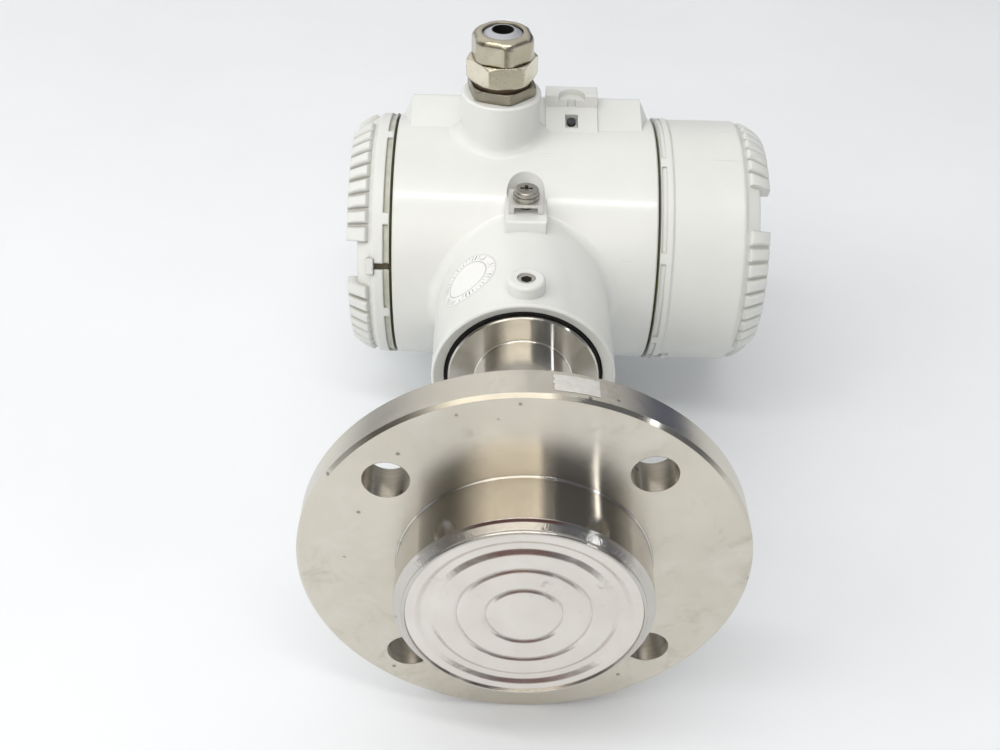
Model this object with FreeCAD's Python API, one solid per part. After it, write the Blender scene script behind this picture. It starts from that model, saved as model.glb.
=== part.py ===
import FreeCAD
import Part
import math
import os

from FreeCAD import Vector

# Pressure transmitter with a flanged, extended diaphragm and a two-cover barrel housing.
# Millimetres. The origin is the centre of the flange's front face. The process axis runs
# along Y with the diaphragm towards -Y, the barrel lies along X, the cable entry points up.

# Process flange
flange_diameter = 140.0
flange_thickness = 12.0
flange_chamfer = 1.1
bolt_circle = 110.0
bolt_hole = 14.0
bolt_count = 4
bolt_turn = 3.5

# Extension with the diaphragm at its end
extension_diameter = 78.4
extension_length = 19.6
bevel_depth = 1.0
bevel_length = 0.55
rim_chamfer_depth = 1.6
rim_chamfer_length = 1.4
rim_width = 1.0
rim_height = 1.1
rim_rounding = 0.7
root_chamfer = 0.5
spigot_diameter = 46.0
oil_channel = 3.0
oil_gap = 0.2

# Diaphragm with two creases and a moat inside its weld land
diaphragm_recess = 0.6
diaphragm_thickness = 0.3
crease_start = 11.5
crease_pitch = 8.65
crease_count = 2
crease_half_width = 1.0
crease_depth = 0.57
moat_depth = 0.95
moat_inner_wall = 1.75
moat_floor = 2.3
moat_outer_wall = 1.65
weld_land = 3.2

# Stem and head that carry the housing
stem_diameter = 34.8
stem_length = 79.5
stem_fillet = 0.6
stem_bore = 7.0
head_diameter = 55.0
head_front = 1.7
head_chamfer = 0.5
seal_groove_width = 2.9
seal_groove_depth = 1.2
seal_thickness = 2.4
bearing_length = 16.0
swivel_clearance = 0.05
capsule_seat_depth = 13.0
capsule_diameter = 42.0
capsule_length = 10.0
capillary_diameter = 2.6

# Neck of the housing
neck_diameter = 67.0
neck_bore = 58.0
neck_length = 94.5
collar_recess = 2.2
collar_overlap = 0.5
neck_floor = 2.0
neck_cavity = 44.0
neck_cavity_floor = 6.0
neck_fillet = 4.0
wire_passage = 13.0
wire_passage_offset = 17.0
lock_boss_diameter = 13.6
lock_boss_height = 4.5
lock_boss_from_collar = 10.0
lock_boss_rounding = 1.2
collar_rounding = 1.0
lock_screw_diameter = 6.4
lock_screw_socket = 3.6
lock_screw_sink = 0.5
fastener_clearance = 0.2

# Barrel
barrel_diameter = 99.0
barrel_half_length = 51.0
barrel_wall = 8.0
barrel_edge = 0.5
thread_wall = 4.5
thread_depth = 11.0
partition_start = 1.0
partition_thickness = 4.0

# Raised pad on the side away from the neck
pad_end_gap = 0.5
pad_slope = 4.5
pad_reach = 52.0
pad_half_height = 28.0
pad_shoulder_reach = 21.3
pad_shoulder_height = 54.0
pad_foot_reach = -3.0
pad_foot_height = 48.3
pad_rounding = 4.0

# Raised block beside the cable entry, with its pocket and its screw recess
block_left = 7.6
block_foot_reach = -4.0
block_foot_height = 48.35
block_width = 20.8
block_front = 13.5
block_depth = 8.0
block_top = 58.5
block_rounding = 0.6
ramp_top = 53.4
block_pocket_diameter = 10.4
block_pocket_depth = 2.2
block_groove_width = 3.3
block_groove_depth = 1.0
recess_width = 5.0
recess_start = 6.6
recess_length = 7.4
recess_depth = 3.0
recess_screw_gap = 0.4
recess_screw_diameter = 3.6
recess_screw_height = 1.6

# Cable entries on both sides of the barrel
entry_offset = -10.2
entry_boss_diameter = 31.0
entry_boss_height = 66.7
entry_fillet = 5.0
entry_rounding = 1.0
entry_bore = 20.4

# Cable gland
gland_across_flats = 24.0
gland_locknut_height = 4.4
gland_washer_height = 1.9
gland_washer_diameter = 22.6
gland_hex_height = 8.5
gland_tube_diameter = 20.0
gland_tube_reach = 12.0
gland_neck_diameter = 19.0
gland_neck_height = 6.2
gland_bore = 13.4
gland_nut_gap = 0.3
gland_nut_wall = 1.3
gland_nut_height = 9.4
gland_nut_rounding = 2.4
gland_nut_dome = 3.4
gland_nut_rim = 1.4
gland_nut_mouth = 15.5
gland_thread_clearance = 0.3
gland_insert_rise = 0.6
gland_insert_sleeve = 6.0
cable_hole = 8.4
gland_seal_length = 9.0
locknut_turn = 13.5
gland_hex_turn = 38.4
gland_nut_turn = 12.0

# Blanking plug in the lower entry
plug_head_diameter = 24.0
plug_head_height = 3.3
plug_length = 12.0
plug_socket = 10.0
plug_socket_depth = 7.0

# External ground terminal
ground_pad_width = 15.9
ground_pad_height = 4.4
ground_pad_rounding = 0.8
ground_pad_from_axis = 48.3
ground_screw_from_axis = 37.5
ground_pocket_width = 14.4
ground_pocket_reach = 29.5
ground_clamp_width = 12.8
ground_clamp_length = 11.4
ground_clamp_height = 4.0
ground_clamp_plate = 1.2
ground_clamp_leg = 2.0
ground_washer_diameter = 10.0
ground_washer_height = 1.9
ground_washer_split = 1.0
ground_screw_head = 9.4
ground_screw_head_height = 2.2
ground_screw_shank = 4.8
ground_screw_depth = 8.0

# Covers
cover_gap = 1.0
cover_wall = 4.0
cover_spigot_length = 9.5
cover_spigot_wall = 3.2
thread_clearance = 0.3
cover_seal_thickness = 2.0
cover_seal_clearance = 0.05
grip_length = 10.2
grip_drop = 5.0
grip_bulge = 0.45
grip_edge = 0.8
grip_step = 1.5
grip_step_length = 0.9
grip_band = 0.7
shoulder_lead = 0.8
shoulder_drop = 0.45
crown_height = 4.2
crown_width = 5.0
rib_pitch = 7.6
rib_count = 9
rib_rounding = 2.8
rib_ramp_length = 1.2
rib_ramp_rise = 1.1
rib_height = 2.4
rib_groove_sink = 0.12
grip_notch_count = 4
rim_strip_start = 0.4
rim_strip_width = 1.9
rim_tab_count = 8
rim_tab_angle = 5.2
lock_slot_width = 2.6
lock_slot_length = 6.0
lock_slot_depth = 1.9
lock_lug_width = 6.4
lock_lug_length = 2.8
lock_lug_rise = 0.7
lock_pin_diameter = 2.0
lock_pin_length = 7.0

terminal_cover_length = 16.7
terminal_strip_depth = 0.9
terminal_strip_angle = 5.5
terminal_notch_angle = 71.8
terminal_lock_angle = 72.0

display_cover_length = 43.0
display_strip_depth = 0.08
display_strip_angle = 20.3
display_notch_angle = 41.1
display_lock_angle = 131.0
display_collar_length = 4.7
display_collar_rise = 0.5

# Window of the display cover
window_opening = 56.0
window_diameter = 66.0
window_thickness = 6.0
window_clearance = 0.2
window_gasket_height = 0.6
window_ring_height = 4.0
window_ring_width = 4.0
window_seat_wall = 4.0

# Inside the terminal chamber
terminal_block_width = 50.0
terminal_block_height = 34.0
terminal_block_depth = 15.0
terminal_bay_depth = 5.0
terminal_count = 3
terminal_pitch = 14.0
terminal_bay_width = 11.0
terminal_screw_head = 7.0
terminal_screw_head_height = 2.4
terminal_screw_shank = 3.6
terminal_screw_depth = 6.0
feedthrough_diameter = 12.0
feedthrough_offset = 29.0
feedthrough_length = 9.0

# Inside the electronics chamber
module_diameter = 72.0
module_recess = 1.0
standoff_count = 3
standoff_diameter = 7.0
standoff_length = 5.0
standoff_circle = 52.0
display_diameter = 64.0
display_depth = 14.0
display_panel_width = 42.0
display_panel_height = 26.0
display_panel_thickness = 2.0

# Places worked out from the sizes above
along_x = Vector(1, 0, 0)
along_y = Vector(0, 1, 0)
along_z = Vector(0, 0, 1)
origin = Vector(0, 0, 0)
head_face = flange_thickness + stem_length
collar_face = head_face - collar_overlap
axis_y = collar_face + neck_length
barrel_axis = Vector(0, axis_y, 0)
barrel_radius = barrel_diameter / 2
chamber_radius = barrel_radius - barrel_wall
thread_radius = barrel_radius - thread_wall
neck_radius = neck_diameter / 2
neck_bore_end = head_face + head_front + seal_groove_width + bearing_length + neck_floor
entry_axis = Vector(entry_offset, axis_y, 0)
partition_end = partition_start + partition_thickness
cover_start = barrel_half_length + cover_gap
spigot_radius = thread_radius - thread_clearance
spigot_bore = spigot_radius - cover_spigot_wall
seal_ring_radius = thread_radius + cover_seal_thickness / 2
grip_notch_angle = 360 / grip_notch_count - rib_count * rib_pitch
diaphragm_seat = diaphragm_recess + diaphragm_thickness - extension_length
rim_radius = extension_diameter / 2 - bevel_depth - rim_chamfer_depth
diaphragm_edge = rim_radius - rim_width
moat_edge = diaphragm_edge - weld_land
ground_pad_front = axis_y - ground_pad_from_axis
ground_pad_level = neck_radius + ground_pad_height
ground_screw_y = axis_y - ground_screw_from_axis


def rod(start, end, diameter):
    run = end - start
    return Part.makeCylinder(diameter / 2, run.Length, start, run)


def box(x, y, z):
    return Part.makeBox(x[1] - x[0], y[1] - y[0], z[1] - z[0], Vector(x[0], y[0], z[0]))


def rounded_boss(centre, foot, top, diameter, rounding):
    radius = diameter / 2
    corner = rounding * (1 - math.sqrt(0.5))
    return turned(centre, along_z, [
        (foot, 0),
        (foot, radius),
        (top - rounding, radius),
        (top - corner, radius - corner, top, radius - rounding),
        (top, 0),
    ])


def closed_wire(points):
    return Part.makePolygon(points + [points[0]])


def rounded_wire(points, radius):
    # A closed outline with each corner rounded to the same radius.
    edges = []
    ends = []
    for number, corner in enumerate(points):
        back = points[number - 1] - corner
        ahead = points[(number + 1) % len(points)] - corner
        back.normalize()
        ahead.normalize()
        half = back.getAngle(ahead) / 2
        middle = back + ahead
        middle.normalize()
        start = corner + back * (radius / math.tan(half))
        end = corner + ahead * (radius / math.tan(half))
        bulge = corner + middle * (radius / math.sin(half) - radius)
        edges.append(Part.Arc(start, bulge, end).toShape())
        ends.append((start, end))
    for number, (start, end) in enumerate(ends):
        edges.append(Part.LineSegment(ends[number - 1][1], start).toShape())
    return Part.Wire(Part.__sortEdges__(edges))


def turned(centre, axis, steps):
    # Steps are (along, radius) for a straight line or (along, radius, along, radius) for an
    # arc through the first pair to the second.
    side = Vector(abs(axis.z), abs(axis.x), -abs(axis.y))

    def place(along, radius):
        return centre + axis * along + side * radius

    last = place(*steps[-1][-2:])
    edges = []
    for step in steps:
        target = place(*step[-2:])
        if len(step) == 4:
            edges.append(Part.Arc(last, place(*step[:2]), target).toShape())
        else:
            edges.append(Part.LineSegment(last, target).toShape())
        last = target
    solid = Part.Face(Part.Wire(edges)).revolve(centre, axis, 360)
    if solid.Volume < 0:
        solid.reverse()
    return solid


def hexagon(centre, level, height, across_flats, turn):
    corner = across_flats / math.sqrt(3)
    points = []
    for number in range(6):
        angle = math.radians(60 * number + turn - 90)
        points.append(centre + Vector(corner * math.cos(angle), corner * math.sin(angle), level))
    return Part.Face(closed_wire(points)).extrude(along_z * height)


def sector(start, end, outer, inner, middle, spread):
    # A piece of a ring about the barrel's axis. Angles run from +Z towards -Y.
    low = min(start, end)
    high = max(start, end)
    ring = Part.makeCylinder(outer, high - low, Vector(low, axis_y, 0), along_x, spread)
    ring = ring.cut(Part.makeCylinder(inner, high - low, Vector(low, axis_y, 0), along_x))
    first_edge = ring_start_angle()
    ring.rotate(barrel_axis, along_x, middle - spread / 2 - first_edge)
    return ring


def ring_start_angle():
    # Where a sector about X begins, measured from +Z towards -Y.
    probe = Part.makeCylinder(1, 1, origin, along_x, 1).CenterOfMass
    return math.degrees(math.atan2(-probe.y, probe.z)) - 0.5


def on_barrel(along, radius, angle):
    turn = math.radians(angle)
    return Vector(along, axis_y - radius * math.sin(turn), radius * math.cos(turn))


def fillet_where(solid, radius, wanted):
    edges = [edge for edge in solid.Edges if wanted(edge)]
    return solid.makeFillet(radius, edges)


# Process connection

def make_flange():
    radius = flange_diameter / 2
    bore = spigot_diameter / 2
    plate = turned(origin, along_y, [
        (0, bore),
        (0, radius - flange_chamfer),
        (flange_chamfer, radius),
        (flange_thickness - flange_chamfer, radius),
        (flange_thickness, radius - flange_chamfer),
        (flange_thickness, bore),
    ])
    for number in range(bolt_count):
        angle = math.radians(360 / bolt_count * (number + 0.5) + bolt_turn)
        spot = Vector(bolt_circle / 2 * math.cos(angle), 0, bolt_circle / 2 * math.sin(angle))
        plate = plate.cut(rod(spot, spot + along_y * flange_thickness, bolt_hole))
    return plate


def make_extension():
    # The diaphragm's edge rests on the weld land, around a shallow pocket for the fill oil.
    radius = extension_diameter / 2
    face = -extension_length
    shoulder = face + rim_height + rim_chamfer_length
    pocket = diaphragm_seat + moat_depth + oil_gap
    corner = rim_rounding * (1 - math.sqrt(0.5))
    return turned(origin, along_y, [
        (pocket, oil_channel / 2),
        (pocket, moat_edge + oil_gap),
        (diaphragm_seat, moat_edge + oil_gap),
        (diaphragm_seat, diaphragm_edge),
        (face, diaphragm_edge),
        (face, rim_radius - rim_rounding),
        (face + corner, rim_radius - corner, face + rim_rounding, rim_radius),
        (face + rim_height, rim_radius),
        (shoulder, rim_radius + rim_chamfer_depth),
        (shoulder + bevel_length, radius),
        (-root_chamfer, radius),
        (0, radius + root_chamfer),
        (0, spigot_diameter / 2),
        (flange_thickness, spigot_diameter / 2),
        (flange_thickness, oil_channel / 2),
    ])


def diaphragm_line(level):
    # One side of the foil from its centre to its edge: creases, the moat, then the weld land.
    steps = [(level, 0)]
    for number in range(crease_count):
        radius = crease_start + crease_pitch * number
        steps.append((level, radius - crease_half_width))
        steps.append((level + crease_depth, radius))
        steps.append((level, radius + crease_half_width))
    floor_end = moat_edge - moat_outer_wall
    floor_start = floor_end - moat_floor
    return steps + [
        (level, floor_start - moat_inner_wall),
        (level + moat_depth, floor_start),
        (level + moat_depth, floor_end),
        (level, moat_edge),
        (level, diaphragm_edge),
    ]


def make_diaphragm():
    back = diaphragm_line(diaphragm_seat)
    front = diaphragm_line(diaphragm_seat - diaphragm_thickness)
    return turned(origin, along_y, front + back[::-1])


def make_sensor_body():
    stem = stem_diameter / 2
    head = head_diameter / 2
    groove = head_face + head_front
    bearing = groove + seal_groove_width
    end = bearing + bearing_length
    cup_floor = end - capsule_seat_depth
    cup = capsule_diameter / 2 + thread_clearance
    corner = stem_fillet * (1 - math.sqrt(0.5))
    return turned(origin, along_y, [
        (flange_thickness, stem_bore / 2),
        (flange_thickness, stem),
        (head_face - stem_fillet, stem),
        (head_face - corner, stem + corner, head_face, stem + stem_fillet),
        (head_face, head - head_chamfer),
        (head_face + head_chamfer, head),
        (groove, head),
        (groove, head - seal_groove_depth),
        (bearing, head - seal_groove_depth),
        (bearing, neck_bore / 2 - swivel_clearance),
        (end, neck_bore / 2 - swivel_clearance),
        (end, cup),
        (cup_floor, cup),
        (cup_floor, stem_bore / 2),
    ])


def make_neck_seal():
    ring = head_diameter / 2 - seal_groove_depth + seal_thickness / 2 + cover_seal_clearance
    middle = head_face + head_front + seal_groove_width / 2
    return Part.makeTorus(ring, seal_thickness / 2, Vector(0, middle, 0), along_y)


def capsule_floor():
    return head_face + head_front + seal_groove_width + bearing_length - capsule_seat_depth


def make_capsule():
    floor = capsule_floor()
    body = rod(along_y * floor, along_y * (floor + capsule_length), capsule_diameter)
    return body.cut(rod(along_y * floor, along_y * (floor + capsule_length / 2), oil_channel))


def make_capillary():
    start = along_y * (flange_thickness / 2)
    return rod(start, along_y * (capsule_floor() + capsule_length / 4), capillary_diameter)


# Housing casting

def make_rear_pad():
    outline = [
        (pad_foot_reach, pad_foot_height),
        (pad_shoulder_reach, pad_shoulder_height),
        (pad_reach, pad_half_height),
    ]
    outline = outline + [(reach, -height) for reach, height in reversed(outline)]
    shrink = (barrel_radius - barrel_edge) / math.hypot(pad_reach, pad_half_height)

    def section(along, factor):
        points = [Vector(along, axis_y + reach * factor, height * factor) for reach, height in outline]
        return rounded_wire(points, pad_rounding * factor)

    foot = barrel_half_length - pad_end_gap
    full = foot - pad_slope
    sections = [
        section(-foot, shrink),
        section(-full, 1),
        section(full, 1),
        section(foot, shrink),
    ]
    return Part.makeLoft(sections, True, True)


def make_block():
    right = block_left + block_width
    front = axis_y + block_front
    back = front + block_depth
    foot = axis_y + block_foot_reach
    side = [
        Vector(block_left, foot, block_foot_height),
        Vector(block_left, front, ramp_top),
        Vector(block_left, front, block_top),
        Vector(block_left, back, block_top),
        Vector(block_left, back + block_depth, chamber_radius),
        Vector(block_left, foot, chamber_radius),
    ]
    block = Part.Face(closed_wire(side)).extrude(along_x * block_width)
    block = fillet_where(block, block_rounding, lambda edge: edge.BoundBox.ZMin > ramp_top + 1)
    middle = (block_left + right) / 2
    pocket_top = Vector(middle, front, block_top)
    pocket = rod(pocket_top - along_z * block_pocket_depth, pocket_top, block_pocket_diameter)
    block = block.cut(pocket)
    groove = (middle - block_groove_width / 2, middle + block_groove_width / 2)
    return block.cut(box(groove, (front, front + block_groove_depth), (ramp_top, block_top)))


def recess_frame():
    # Start of the screw recess on the ramp, the way up the ramp and the way out of it.
    slope = Vector(0, block_front - block_foot_reach, ramp_top - block_foot_height)
    slope.normalize()
    outward = along_x.cross(slope)
    foot = Vector(block_left + block_width / 2, axis_y + block_foot_reach, block_foot_height)
    start = foot + slope * recess_start
    return start, slope, outward


def make_recess():
    start, slope, outward = recess_frame()
    corner = start - along_x * (recess_width / 2) - outward * recess_depth
    points = [
        corner,
        corner + along_x * recess_width,
        corner + along_x * recess_width + slope * recess_length,
        corner + slope * recess_length,
    ]
    return Part.Face(closed_wire(points)).extrude(outward * (recess_depth + 1))


def make_recess_screw():
    start, slope, outward = recess_frame()
    along = recess_length - recess_screw_gap - recess_screw_diameter / 2
    floor = start + slope * along - outward * recess_depth
    return rod(floor, floor + outward * recess_screw_height, recess_screw_diameter)


def make_ground_pocket():
    half = ground_pocket_width / 2
    end_y = axis_y - ground_pocket_reach
    top = ground_pad_level + barrel_radius
    pocket = box((-half, half), (ground_pad_front, end_y), (ground_pad_level, top))
    bottom = Vector(0, end_y, ground_pad_level)
    return pocket.fuse(rod(bottom, bottom + along_z * barrel_radius, ground_pocket_width))


def make_casting():
    end = barrel_half_length
    barrel = turned(barrel_axis, along_x, [
        (-end, 0),
        (-end, barrel_radius - barrel_edge),
        (barrel_edge - end, barrel_radius),
        (end - barrel_edge, barrel_radius),
        (end, barrel_radius - barrel_edge),
        (end, 0),
    ])
    edge = collar_rounding
    corner = edge * (1 - math.sqrt(0.5))
    neck = turned(origin, along_y, [
        (axis_y, 0),
        (axis_y, neck_radius),
        (collar_face + edge, neck_radius),
        (collar_face + corner, neck_radius - corner, collar_face, neck_radius - edge),
        (collar_face + collar_recess, neck_bore / 2),
        (collar_face + collar_recess, 0),
    ])
    body = barrel.fuse(neck)

    def is_neck_joint(edge):
        ring = edge.BoundBox
        near = ring.YMin > axis_y - barrel_radius - 1 and ring.YMax < axis_y - 1
        return near and ring.XLength > neck_radius

    body = fillet_where(body, neck_fillet, is_neck_joint)
    bosses = rounded_boss(entry_axis, 0, entry_boss_height, entry_boss_diameter, entry_rounding)
    body = body.fuse(bosses)
    body = body.fuse(bosses.mirror(origin, along_z))

    def is_boss_joint(edge):
        ring = edge.BoundBox
        tall = max(abs(ring.ZMin), abs(ring.ZMax))
        low = min(abs(ring.ZMin), abs(ring.ZMax))
        on_boss = abs(edge.CenterOfMass.x - entry_offset) < 1 and abs(ring.XLength - entry_boss_diameter) < 1
        return on_boss and low > 1 and tall < barrel_radius + 1

    body = fillet_where(body, entry_fillet, is_boss_joint)
    body = body.fuse(make_rear_pad())
    body = body.fuse(make_block())
    lock_y = collar_face + lock_boss_from_collar
    lock_foot = (neck_bore / 2 + neck_radius) / 2
    lock_top = neck_radius + lock_boss_height
    lock_centre = Vector(0, lock_y, 0)
    lock_boss = rounded_boss(lock_centre, lock_foot, lock_top, lock_boss_diameter, lock_boss_rounding)
    body = body.fuse(lock_boss)
    half = ground_pad_width / 2
    ground_back = axis_y - ground_pocket_reach
    pad = box((-half, half), (ground_pad_front, ground_back), (neck_bore / 2, ground_pad_level))
    pad = fillet_where(pad, ground_pad_rounding, lambda edge: edge.BoundBox.YMax < ground_pad_front + 1)
    return body.fuse(pad)


def make_housing():
    body = make_casting()
    end = barrel_half_length
    start = Vector(-end, axis_y, 0)
    passage = Vector(wire_passage_offset, neck_bore_end, 0)
    hollows = [
        rod(start, Vector(partition_start, axis_y, 0), 2 * chamber_radius),
        rod(start, Vector(thread_depth - end, axis_y, 0), 2 * thread_radius),
        rod(Vector(partition_end, axis_y, 0), Vector(end, axis_y, 0), 2 * chamber_radius),
        rod(Vector(end - thread_depth, axis_y, 0), Vector(end, axis_y, 0), 2 * thread_radius),
        rod(along_y * collar_face, along_y * neck_bore_end, neck_bore),
        rod(along_y * neck_bore_end, along_y * (axis_y - chamber_radius - neck_cavity_floor), neck_cavity),
        rod(passage, Vector(wire_passage_offset, axis_y, 0), wire_passage),
        rod(entry_axis - along_z * entry_boss_height, entry_axis + along_z * entry_boss_height, entry_bore),
        rod(Vector(partition_start, axis_y + feedthrough_offset, 0),
            Vector(partition_end, axis_y + feedthrough_offset, 0), feedthrough_diameter),
        make_recess(),
        make_ground_pocket(),
        lock_screw_hole(),
        rod(Vector(0, ground_screw_y, ground_pad_level - ground_screw_depth),
            Vector(0, ground_screw_y, ground_pad_level), ground_screw_shank + fastener_clearance),
    ]
    for side, angle in ((-1, terminal_lock_angle), (1, display_lock_angle)):
        hollows.append(lock_pin(side, angle, fastener_clearance))
    for hollow in hollows:
        body = body.cut(hollow)
    return body


def lock_screw_hole():
    lock_y = collar_face + lock_boss_from_collar
    top = neck_radius + lock_boss_height
    return rod(Vector(0, lock_y, 0), Vector(0, lock_y, top), lock_screw_diameter + fastener_clearance)


# Small fasteners of the housing

def make_rotation_screw():
    lock_y = collar_face + lock_boss_from_collar
    top = neck_radius + lock_boss_height - lock_screw_sink
    tip = neck_bore / 2 + thread_clearance
    screw = rod(Vector(0, lock_y, tip), Vector(0, lock_y, top), lock_screw_diameter)
    socket = hexagon(Vector(0, lock_y, 0), (tip + top) / 2, top, lock_screw_socket, 0)
    return screw.cut(socket)


def lock_pin(side, angle, slack):
    radius = (barrel_radius + thread_radius + cover_seal_thickness / 2) / 2
    face = on_barrel(side * barrel_half_length, radius, angle)
    inner = on_barrel(side * (barrel_half_length - lock_pin_length), radius, angle)
    return rod(inner, face, lock_pin_diameter + slack)


def make_cover_lock_pins():
    left = lock_pin(-1, terminal_lock_angle, 0)
    right = lock_pin(1, display_lock_angle, 0)
    return Part.makeCompound([left, right])


def make_ground_clamp():
    half = ground_clamp_width / 2
    front = ground_screw_y - ground_clamp_length / 2
    back = ground_screw_y + ground_clamp_length / 2
    top = ground_pad_level + ground_clamp_height
    plate = box((-half, half), (front, back), (ground_pad_level, top))
    gap = half - ground_clamp_leg
    plate = plate.cut(box((-gap, gap), (front, back), (ground_pad_level, top - ground_clamp_plate)))
    foot = Vector(0, ground_screw_y, ground_pad_level)
    return plate.cut(rod(foot, foot + along_z * ground_clamp_height, ground_screw_shank + fastener_clearance))


def make_ground_washer():
    level = ground_pad_level + ground_clamp_height
    foot = Vector(0, ground_screw_y, level)
    top = foot + along_z * ground_washer_height
    ring = rod(foot, top, ground_washer_diameter)
    ring = ring.cut(rod(foot, top, ground_screw_shank + fastener_clearance))
    half = ground_washer_split / 2
    split = box((0, ground_washer_diameter), (ground_screw_y - half, ground_screw_y + half),
                (level, level + ground_washer_height))
    return ring.cut(split)


def make_ground_screw():
    level = ground_pad_level + ground_clamp_height + ground_washer_height
    top = level + ground_screw_head_height
    radius = ground_screw_head / 2
    centre = Vector(0, ground_screw_y, 0)
    shank = ground_screw_shank / 2
    crown = ground_screw_head_height / 3
    screw = turned(centre, along_z, [
        (ground_pad_level - ground_screw_depth, 0),
        (ground_pad_level - ground_screw_depth, shank),
        (level, shank),
        (level, radius),
        (top - crown, radius),
        (top - crown / 3, radius - crown / 2, top, radius - crown * 1.5),
        (top, 0),
    ])
    slot = ground_screw_head / 8
    arm = ground_screw_head / 4
    depth = (top - ground_screw_head_height / 2, top)
    along = box((-arm, arm), (ground_screw_y - slot / 2, ground_screw_y + slot / 2), depth)
    across = box((-slot / 2, slot / 2), (ground_screw_y - arm, ground_screw_y + arm), depth)
    return screw.cut(along).cut(across)


# Cable gland and blanking plug

gland_foot = entry_boss_height
gland_washer_level = gland_foot + gland_locknut_height
gland_hex_level = gland_washer_level + gland_washer_height
gland_hex_top = gland_hex_level + gland_hex_height
gland_nut_level = gland_hex_top + gland_nut_gap
gland_nut_top = gland_nut_level + gland_nut_height
gland_neck_top = gland_hex_top + gland_neck_height


def upright(level):
    return entry_axis + along_z * level


def bevelled_hex(level, height, turn):
    prism = hexagon(entry_axis, level, height, gland_across_flats, turn)
    corner = gland_across_flats / math.sqrt(3)
    flat = gland_across_flats / 2
    drop = (corner - flat) / 2
    cone = turned(entry_axis, along_z, [
        (level, 0),
        (level, flat + drop / 2),
        (level + drop, corner),
        (level + height - drop, corner),
        (level + height, flat + drop / 2),
        (level + height, 0),
    ])
    return prism.common(cone)


def make_gland_locknut():
    nut = bevelled_hex(gland_foot, gland_locknut_height, locknut_turn)
    hole = gland_tube_diameter + fastener_clearance
    return nut.cut(rod(upright(gland_foot), upright(gland_washer_level), hole))


def make_gland_washer():
    ring = rod(upright(gland_washer_level), upright(gland_hex_level), gland_washer_diameter)
    hole = gland_tube_diameter + fastener_clearance
    return ring.cut(rod(upright(gland_washer_level), upright(gland_hex_level), hole))


def make_gland_body():
    tube_end = upright(gland_foot - gland_tube_reach)
    body = bevelled_hex(gland_hex_level, gland_hex_height, gland_hex_turn)
    body = body.fuse(rod(tube_end, upright(gland_hex_level), gland_tube_diameter))
    body = body.fuse(rod(upright(gland_hex_top), upright(gland_neck_top), gland_neck_diameter))
    bore = rod(tube_end, upright(gland_neck_top), gland_bore)
    return body.cut(bore).removeSplitter()


def make_gland_seal():
    top = gland_neck_top - gland_insert_sleeve - gland_thread_clearance
    bottom = top - gland_seal_length
    seal = rod(upright(bottom), upright(top), gland_bore - fastener_clearance)
    return seal.cut(rod(upright(bottom), upright(top), cable_hole + fastener_clearance))


def make_gland_insert():
    sleeve = (gland_bore - 2 * gland_thread_clearance) / 2
    lip = gland_nut_mouth / 2 - gland_thread_clearance
    hole = cable_hole / 2
    shoulder = gland_nut_top - (gland_nut_top - gland_neck_top) * 0.3
    return turned(entry_axis, along_z, [
        (gland_neck_top - gland_insert_sleeve, hole),
        (gland_neck_top - gland_insert_sleeve, sleeve),
        (gland_neck_top + gland_thread_clearance, sleeve),
        (gland_neck_top + gland_thread_clearance, lip),
        (shoulder, lip),
        (gland_nut_top + gland_insert_rise, hole + gland_insert_rise),
        (gland_nut_top + gland_insert_rise, hole),
    ])


def make_gland_nut():
    # A hexagon with rounded edges under a dome, the mouth for the insert and a wider bore below.
    thread = gland_neck_diameter + 2 * gland_thread_clearance
    inner_top = gland_neck_top + gland_thread_clearance
    across_flats = thread + 2 * gland_nut_wall
    nut = hexagon(entry_axis, gland_nut_level, gland_nut_height, across_flats, gland_nut_turn)
    half_way = gland_nut_level + gland_nut_height / 2
    nut = fillet_where(nut, gland_nut_rounding, lambda edge: edge.BoundBox.ZMin > half_way)
    mouth = gland_nut_mouth / 2
    corner = (across_flats / math.sqrt(3) + across_flats / 2) / 2
    start = gland_nut_top - gland_nut_dome
    rim = mouth + gland_nut_rim
    dome = turned(entry_axis, along_z, [
        (gland_nut_level, 0),
        (gland_nut_level, corner),
        (start, corner),
        (start + gland_nut_dome * 0.7, (corner * 7 + rim * 3) / 10, gland_nut_top, rim),
        (gland_nut_top, 0),
    ])
    nut = nut.common(dome)
    nut = nut.cut(rod(upright(gland_nut_level), upright(inner_top), thread))
    return nut.cut(rod(upright(inner_top), upright(gland_nut_top), gland_nut_mouth))


def make_entry_plug():
    top = -entry_boss_height
    bottom = top - plug_head_height
    plug = rod(upright(bottom), upright(top), plug_head_diameter)
    plug = plug.fuse(rod(upright(top), upright(top + plug_length), gland_tube_diameter))
    socket = hexagon(entry_axis, bottom, plug_socket_depth, plug_socket, 0)
    return plug.cut(socket).removeSplitter()


# Covers

def grip_ground(along):
    # Radius of the tapered ground that the ribs stand on, counted along from the shoulder.
    share = (along - grip_step_length) / (grip_length - grip_step_length)
    return barrel_radius - grip_step - grip_drop * share


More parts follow.
